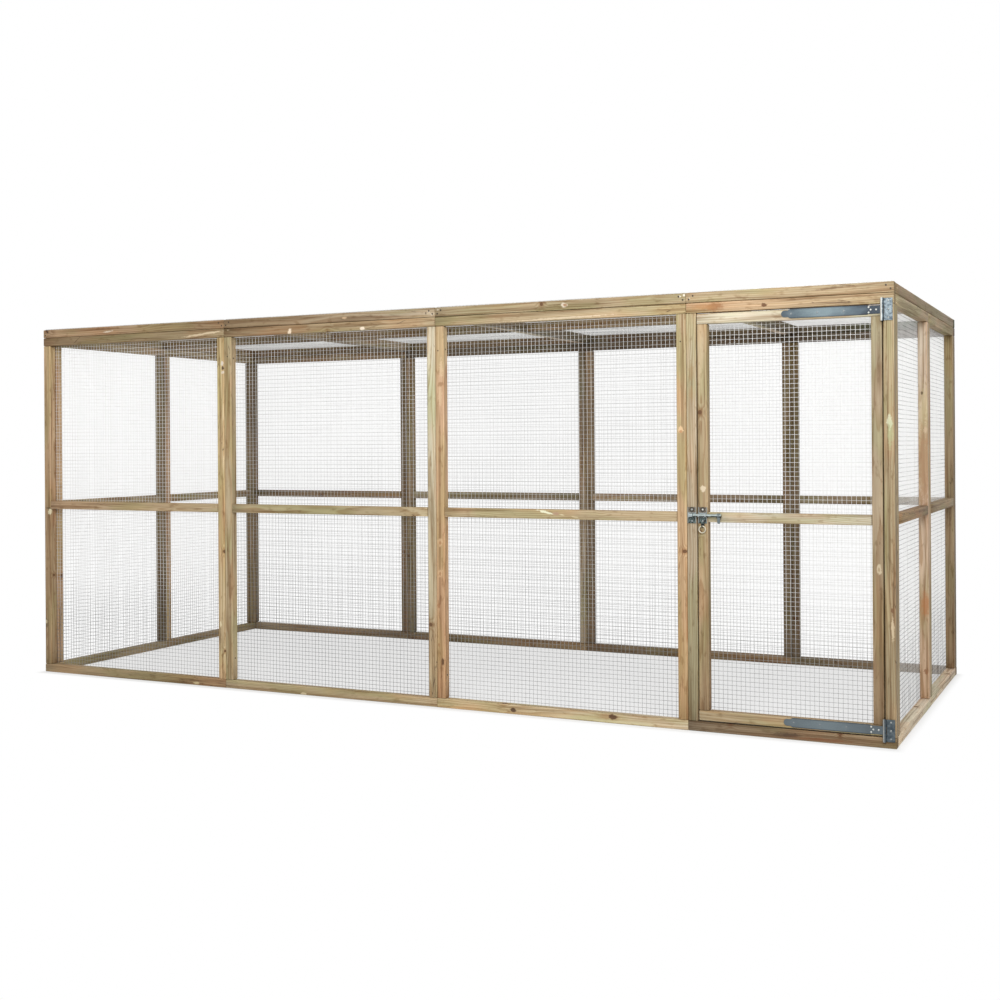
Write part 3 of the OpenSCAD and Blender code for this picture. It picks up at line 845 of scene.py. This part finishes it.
wireTree = weldMeshTree(zincWire)
sheets = sorted(node for node in frame["nodes"] if node.endswith("_mesh"))
wireCount = 0
for number, node in enumerate(sheets):
    place, (width, depth, height) = sheetPlace(node)
    panel, wall = node.removesuffix("_mesh"), node.split("_")[0]
    high, low, share = wire["shine"].get(panel) or wire["shine"][wall]
    piece = grow(node + "_wires", wireTree, {
        "Width": width, "Height": height, "Pitch": weldMesh["pitch"], "Wire": depth / 2,
        "Waviness": weldMesh["waviness"], "Bulge": weldMesh["bulge"][wall],
        "Painted Shine High": high, "Painted Shine Low": low, "Level Shade Share": share,
        "Level First": float(wall == "right"), "Seed": number,
        "Foot Shade": wire["footShade"].get(wall, wire["footShade"]["usual"]),
        "Streaks": wire["streaks"].get(wall, (0, 0, 0))})
    piece.data.transform(place)
    wireCount += len(piece.data.polygons)
    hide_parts(node)
    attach(piece, "door" if node.startswith("door") else "root")
print(len(sheets), "sheets of welded mesh,", wireCount, "faces")


# staples

staple = {
    "spacing": 0.14, "crown": 0.011, "wire": 0.0012, "leg": 0.0045, "seed": 7,
    "inset": 0.012, "start": 0.05,         # of a row, from a sheet's edge and from its corners
    "off": 0.008,                          # of the middle rows, from the middle of the rail
}


def stapleTree(material):
    given, result = geometryTree("meshStaples", ("Crown", "Leg", "Wire"))
    half = times(given["Crown"], 0.5)
    minusHalf, down = times(half, -1), times(given["Leg"], -1)
    corners = [xyz(X=x, Z=z) for x, z in (
        (minusHalf, down), (minusHalf, 0.0), (half, 0.0), (half, down))]
    sides = []
    for start, end in zip(corners, corners[1:]):
        part = shape("CurvePrimitiveLine", {"Start": start, "End": end})
        sides.append(tubes(part, 5, times(given["Wire"], 0.5)))
    turned = add("FunctionNodeAxesToRotation", {
        "Primary Axis": stored("aim"), "Secondary Axis": stored("lie")},
        primary_axis="Z", secondary_axis="X")
    copies = shape("InstanceOnPoints", {
        "Points": given["Geometry"], "Instance": joinAll(sides), "Rotation": turned})
    return finishTree(copies, material, result)


def stapleRows(node, width, height):
    # staples on the middle rail and along each edge that no other wall covers
    inset, start = staple["inset"], staple["start"]
    rows = [((start, height / 2 + rise), (width - start, height / 2 + rise))
            for rise in (-staple["off"], staple["off"])]
    if not node.startswith("front_left"):
        rows.append(((inset, start), (inset, height - start)))
    rows.append(((width - inset, start), (width - inset, height - start)))
    for level in (inset, height - inset):
        rows.append(((start, level), (width - start, level)))
    return rows


stapleMesh = stapleTree(stapleZinc)
spots = {"root": [], "door": []}
chance = random.Random(staple["seed"])
for node in sheets:
    place, (width, depth, height) = sheetPlace(node)
    turn = place.to_3x3()
    for (x0, z0), (x1, z1) in stapleRows(node, width, height):
        reach = math.hypot(x1 - x0, z1 - z0)
        count = max(2, round(reach / staple["spacing"]))
        for step in range(count):
            share = (step + chance.uniform(0.3, 0.7)) / count
            x, z = x0 + (x1 - x0) * share, z0 + (z1 - z0) * share
            lean = chance.uniform(-0.5, 0.5)
            spots["door" if node.startswith("door") else "root"].append((
                place @ Vector((x, depth - staple["wire"] * 0.5, z)),
                turn @ Vector((0, 1, 0)),
                turn @ Vector((math.cos(lean), 0, math.sin(lean)))))
for body, rows in spots.items():
    base = pointMesh(body + "StaplePoints", [row[0] for row in rows],
                     aim=[row[1] for row in rows], lie=[row[2] for row in rows])
    piece = grow(body + "Staples", stapleMesh, {
        "Crown": staple["crown"], "Leg": staple["leg"], "Wire": staple["wire"]}, base)
    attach(piece, body)
print(sum(len(rows) for rows in spots.values()), "staples")


# screws

screw = {
    "headRise": 0.0021, "flushRise": 0.0004, "recess": 0.0016, "flushRecess": 0.0003,
    "recessWide": 0.0011, "sink": 0.0016, "flushSink": 0.0004, "seed": 3,
    "recessLong": 1.05, "pressed": 0.8,        # of the head's radius, and of its lower half
    "spin": 6.28,                              # how far the heads are turned, in radians
    "shank": 0.0022, "shankLong": 0.006, "shankDrop": 0.0036,
    # painted highlight on the heads, from 0 to 1: round the bolt, on the hinge plates and along a strap
    "shine": {"underBolt": 0.35, "keep": 0.5, "bolt": 1.0, "lowHinge": 0.35, "highHinge": 0.5,
              "strap": 0.2, "knuckle": 0.8},
}


def screwTree(name, material):
    given, result = geometryTree(name, (
        "Head Radius", "Head Rise", "Shank Radius", "Recess"), Seed="Int")
    ball = shape("MeshUVSphere", {"Segments": 20, "Rings": 10, "Radius": 1.0})
    height = parts(shape("InputPosition"))[2]
    # below its widest line the ball is pressed flat, so that the head stays closed
    pressed = shape("SetPosition", {
        "Geometry": ball, "Selection": calc("LESS_THAN", height, -0.01),
        "Offset": xyz(Z=times(height, -screw["pressed"]))})
    radius, rise = given["Head Radius"], given["Head Rise"]
    dome = shape("Transform", {"Geometry": pressed, "Scale": xyz(X=radius, Y=radius, Z=rise)})
    blades = joinAll([shape("MeshCube", {"Size": xyz(**{
        wideAxis: times(radius, screw["recessLong"]), thinAxis: screw["recessWide"],
        "Z": times(given["Recess"], 2)})}) for wideAxis, thinAxis in ("XY", "YX")])
    raised = shape("Transform", {"Geometry": blades, "Translation": xyz(Z=rise)})
    cut = shape("MeshBoolean", {"Mesh 1": dome, "Mesh 2": raised}, operation="DIFFERENCE")
    shank = shape("MeshCylinder", {
        "Vertices": 8, "Radius": given["Shank Radius"], "Depth": screw["shankLong"]})
    lowered = shape("Transform", {"Geometry": shank, "Translation": (0, 0, -screw["shankDrop"])})
    faced = add("FunctionNodeAlignRotationToVector", {"Vector": stored("aim")}, axis="Z")
    spin = add("FunctionNodeRandomValue", {"Seed": given["Seed"]}, data_type="FLOAT")
    turn = add("FunctionNodeAxisAngleToRotation", {
        "Axis": (0, 0, 1), "Angle": times(spin.outputs[1], screw["spin"])})
    both = add("FunctionNodeRotateRotation", {"Rotation": faced, "Rotate By": turn},
               rotation_space="LOCAL")
    copies = shape("InstanceOnPoints", {
        "Points": given["Geometry"], "Instance": joinAll((cut, lowered)), "Rotation": both})
    return finishTree(copies, material, result)


def screwPlaces(node):
    # middle of each screw's head top, the way it points, and the head's radius
    places = []
    for points in looseParts(node):
        low, high = boxOf(points)
        size, middle = high - low, (low + high) / 2
        axis = max(range(3), key=lambda each: size[each])
        others = [each for each in range(3) if each != axis]

        def reach(end):
            near = [point for point in points if abs(point[axis] - end) < 0.0005]
            return max(math.hypot(*(point[other] - middle[other] for other in others))
                       for point in near)

        lowReach, highReach = reach(low[axis]), reach(high[axis])
        aim, spot = Vector((0, 0, 0)), middle.copy()
        aim[axis] = 1 if highReach > lowReach else -1
        spot[axis] = high[axis] if highReach > lowReach else low[axis]
        places.append((spot, aim, max(lowReach, highReach)))
    return places


# how much painted highlight a screw head gets, by where it sits
def screwPaintedShine(spot):
    boltMiddle, strapEnd = (rodLow + rodHigh) / 2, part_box("hinge_straps")[1].x
    if abs(spot.z - boltMiddle) < 0.1:
        onKeep = spot.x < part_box("bolt_plate")[0].x
        place = "underBolt" if spot.z < boltMiddle else "keep" if onKeep else "bolt"
    elif spot.x > strapEnd:
        place = "lowHinge" if spot.z < 1 else "highHinge"
    else:
        place = "strap" if spot.x < strapEnd - 0.09 else "knuckle"
    return screw["shine"][place]


for node, body, finish, kind in (
        ("frame_screws", "root", darkScrew, "flush"),
        ("plate_screws", "root", zincScrew, "head"),
        ("door_screws", "door", zincScrew, "head")):
    flush = kind == "flush"
    sink = screw["flushSink" if flush else "sink"]
    places = screwPlaces(node)
    base = pointMesh(node + "Points", [spot - aim * sink for spot, aim, radius in places],
                     aim=[aim for spot, aim, radius in places],
                     shine=[[screwPaintedShine(spot)] * 3 for spot, aim, radius in places])
    piece = grow(node + "_heads", screwTree(node + "Tree", finish), {
        "Head Radius": places[0][2], "Head Rise": screw[kind + "Rise"],
        "Shank Radius": screw["shank"], "Recess": screw["flushRecess" if flush else "recess"],
        "Seed": screw["seed"]}, base)
    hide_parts(node)
    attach(piece, body)
print("screws made")


# hinges and bolt keep their CAD shape, with zinc on them

bolt = {
    # painted light: highlights on the loop, the edges and the rod, shade under the rod, the wood's reflected
    # colour on the tabs and the ring
    "loop": rgb(160, 170, 172), "underShade": rgb(44, 46, 44), "stain": rgb(88, 106, 104),
    "tabReflection": rgb(104, 92, 78), "edge": rgb(150, 154, 150), "rod": rgb(166, 178, 176),
    "ring": rgb(206, 198, 176), "screwRise": 0.0155,         # from the rod up to its screws
    # of the ring that hangs in the padlock eye
    "ringRadius": 0.0140, "ringWire": 0.0024, "ringPlay": 0.0002,
}


def boltMaterial():
    # painted light and shade: a painted highlight round the rod, painted shade with stains below it and round the
    # screws, painted highlights on the edges and in specks, and the tabs in the wood's painted reflection
    material, surface = newMaterial("zincBolt", bolt["loop"])
    place = objectPlace()
    x, _, z = parts(place)
    ragged = cloudy(place, (260, 260, 260))
    stained = cloudy(place, (150, 150, 150), detail=1)
    height = plus(z, swing(ragged, 0.005))
    underShade = mixed(fade(stained, 0.46, 0.60), bolt["underShade"], bolt["stain"])
    colour = mixed(fade(height, rodLow - 0.001, rodLow + 0.003), underShade, bolt["loop"])
    colour = mixed(fade(height, rodHigh + 0.001, rodHigh + 0.004), colour, bolt["tabReflection"])
    fromEdge = 1.0
    for node in ("bolt_plate", "bolt_keep"):
        low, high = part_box(node)
        # painted shade round each screw
        far = hypot(gap(x, (low.x + high.x) / 2), gap(z, rodHigh + bolt["screwRise"]))
        ringed = times(fade(far, 0.005, 0.007), fade(far, 0.012, 0.009), 0.9)
        colour = mixed(ringed, colour, bolt["underShade"])
        for end in (low, high):
            fromEdge = calc("MINIMUM", fromEdge, gap(x, end.x))
    # painted highlights along the plates' edges and in specks
    colour = mixed(fade(fromEdge, 0.0045, 0.002, 0, 0.8), colour, bolt["edge"])
    colour = mixed(fade(ragged, 0.58, 0.72, 0, 0.6), colour, bolt["edge"])
    feed(surface, {"Base Color": colour, "Roughness": 0.4, "Metallic": 0.7})
    return material


hinge = {
    # colours of painted light and shade on the hinges; glint and barrel are painted highlights
    "middle": rgb(100, 113, 117), "end": rgb(66, 76, 83), "neck": rgb(46, 53, 60),
    "glint": rgb(124, 134, 138), "barrel": rgb(222, 220, 212), "edge": 0.8,
    "halfWide": 0.019, "barrelRadius": 0.007, "dents": (0.09, 0.36, 0.61),
}


def hingeMaterial():
    # painted light and shade: straps painted lighter in the middle and darker towards the end and the neck, with
    # painted shade along their edges and painted glints at the dents, more on the lower strap; plates mottled with
    # painted glints and darker on the lower hinge; a painted highlight on the barrel, brighter on the upper hinge;
    # the fine flecks are the zinc's own
    material, surface = newMaterial("zincHinge", hinge["middle"])
    place = objectPlace()
    x, _, z = parts(place)
    low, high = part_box("hinge_straps")
    halfWide, reach = hinge["halfWide"], high.x - low.x
    off = calc("MINIMUM", gap(z, low.z + halfWide), gap(z, high.z - halfWide))
    clouds = cloudy(place, (22, 22, 60), detail=3)
    along = plus(over(minus(x, low.x), reach), swing(clouds, 0.15))
    fine = cloudy(place, (300, 300, 300))
    flecks = cloudy(place, (90, 90, 110), detail=3)
    colour = hinge["end"]
    for start, end, shade in ((0.02, 0.36, "middle"), (0.42, 0.74, "end"), (0.74, 0.84, "neck")):
        colour = mixed(fade(along, start, end), colour, hinge[shade])
    # painted glints at the dents along the strap, and more on the lower strap
    dents = 0.0
    for share in hinge["dents"]:
        dent = plus(gap(x, low.x + share * reach), off)
        dents = calc("MAXIMUM", dents, fade(dent, 0.020, 0.004))
    colour = mixed(times(dents, 0.2), colour, hinge["glint"])
    colour = mixed(fade(z, 1.5, 0.5, 0, 0.5), colour, hinge["glint"])
    # painted shade along the strap's edges
    colour = tinted(colour, (
        fade(off, halfWide - 0.005, halfWide - 0.001, 0, hinge["edge"]), (0.35, 0.38, 0.42)))
    # the plates mottled with painted glints, and painted darker on the lower hinge
    plate = mixed(fade(flecks, 0.34, 0.70), hinge["end"], hinge["glint"])
    plate = mixed(fade(z, 0.5, 1.5, 0.6, 0.1), plate, hinge["end"])
    barrel = high.x - hinge["barrelRadius"]
    onPlate = calc("GREATER_THAN", x, barrel - 0.0075)
    colour = mixed(onPlate, colour, plate)
    # a painted highlight along the barrel, brighter on the upper hinge
    lit = times(fade(x, barrel + 0.001, barrel - 0.001),
                times(onPlate, fade(z, 0.5, 1.5, 0.4, 0.9)))
    colour = mixed(lit, colour, hinge["barrel"])
    colour = tinted(colour, (fade(fine, 0.30, 0.75, 0, 0.35), (0.6, 0.64, 0.68)))
    feed(surface, {"Base Color": colour, "Roughness": 0.38, "Metallic": zinc["metallic"],
                   "Normal": bump(flecks, 0.3, 0.0004)})
    return material


def rodMaterial():
    # lit along its upper side only
    material, surface = newMaterial("zincRod", bolt["rod"])
    place = objectPlace()
    ragged = swing(cloudy(place, (120, 120, 260)), 0.004)
    height, middle = plus(parts(place)[2], ragged), (rodLow + rodHigh) / 2
    colour = mixed(fade(height, middle - 0.004, middle), bolt["underShade"], bolt["rod"])
    feed(surface, {"Base Color": colour, "Roughness": 0.35, "Metallic": zinc["metallic"]})
    return material


zincHinge, zincBolt = hingeMaterial(), boltMaterial()
zincHandle = zincMaterial("zincHandle", rgb(128, 136, 134), 300, 0.7)
# the ring's cream colour is a painted reflection of the wood round it
zincRingWoodReflection = zincMaterial("zincRingWoodReflection", bolt["ring"], 300, 0.5, 0.4)
finishes = {"hinge_straps": zincHinge, "hinge_plates": zincHinge, "hinge_pins": zincHinge,
            "bolt_plate": zincBolt, "bolt_keep": zincBolt, "bolt_rod": rodMaterial(),
            "bolt_handle": zincHandle}
for node, finish in finishes.items():
    for slot in frame["nodes"][node].material_slots:
        slot.material = finish


def ringTree(material):
    given, result = geometryTree("hangingRing", ("Radius", "Wire"))
    circle = shape("CurvePrimitiveCircle", {"Resolution": 36, "Radius": given["Radius"]})
    upright = shape("Transform", {"Geometry": circle, "Rotation": (math.pi / 2, 0, 0)})
    return finishTree(tubes(upright, 10, given["Wire"], caps=False), material, result)


# the ring hangs from the lower side of the eye's hole
eye = next(mount for mount in frame["record"]["mounts"] if mount["name"] == "padlock_eye")
hang = eye["dims"]["r_mm"] / 1000 - bolt["ringWire"] - bolt["ringPlay"]
ring = grow("padlockRing", ringTree(zincRingWoodReflection), {
    "Radius": bolt["ringRadius"], "Wire": bolt["ringWire"]})
ring.data.transform(Matrix.Translation(
    Vector(eye["pos_m"]) - Vector((0, 0, hang + bolt["ringRadius"]))))
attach(ring, "door")
print("hinges and bolt finished")


# floor, light and background

stage = {
    "floorSize": 60.0, "floorShade": (0.86, 0.86, 0.86, 1),
    "drop": 0.0005,              # from the run's foot down to the floor
    "glow": 0.41,                # share of plain white in the floor under the run
    "fadeStart": -0.03, "fadeEnd": 0.045,
    "skyLight": 0.45, "keyPower": 188.0, "keySpot": (2.5, -4.7, 3.1), "keySize": (3.4, 2.2),
    "keyAim": (0.5, -0.9, 1.0),
}


def cameraShare():
    # rays that should see plain white: those of the camera, and reflections of the background
    path = shader("LightPath").outputs
    share = calc("MAXIMUM", path["Is Camera Ray"], path["Is Glossy Ray"])
    return calc("MAXIMUM", share, path["Is Transmission Ray"])


def addFloor():
    half = stage["floorSize"] / 2
    mesh = bpy.data.meshes.new("floor")
    mesh.from_pydata([(-half, -half, 0), (half, -half, 0), (half, half, 0), (-half, half, 0)], [],
                     [(0, 1, 2, 3)])
    mesh.transform(Matrix.Translation((0, 0, cadLow.z - stage["drop"])))
    material, surface = newMaterial("paleFloor", stage["floorShade"])
    feed(surface, {"Base Color": stage["floorShade"], "Roughness": 0.9, "Specular IOR Level": 0.0})
    spot = parts(objectPlace())
    out = (calc("MAXIMUM", minus(calc("ABSOLUTE", spot[axis]),
                                 (cadHigh[axis] - cadLow[axis]) / 2), 0) for axis in (0, 1))
    share = times(cameraShare(), fade(
        hypot(*out), stage["fadeStart"], stage["fadeEnd"], stage["glow"], 1.0))
    white = shader("Emission", {"Color": (1, 1, 1, 1), "Strength": 1.0})
    both = shader("MixShader", {0: share, 1: surface, 2: white})
    feed(material.node_tree.get_output_node("ALL"), {"Surface": both})
    mesh.materials.append(material)
    newObject("floor", mesh)


def addLight():
    world = bpy.data.worlds.new("plainWorld")
    scene.world = world
    world.use_nodes = True
    begin(world.node_tree)
    soft, white = (shader("Background", {"Color": (1, 1, 1, 1), "Strength": strength})
                   for strength in (stage["skyLight"], 1.0))
    both = shader("MixShader", {0: cameraShare(), 1: soft, 2: white})
    shader("OutputWorld", {"Surface": both})
    data = bpy.data.lights.new("softKey", "AREA")
    data.shape, data.energy = "RECTANGLE", stage["keyPower"]
    data.size, data.size_y = stage["keySize"]
    key = newObject("softKey", data)
    spot, aim = Vector(stage["keySpot"]), Vector(stage["keyAim"])
    facing = (aim - spot).to_track_quat("-Z", "Y")
    key.matrix_world = Matrix.Translation(spot) @ facing.to_matrix().to_4x4()


addFloor()
addLight()
scene.view_settings.view_transform = "Standard"
print("floor and light placed")
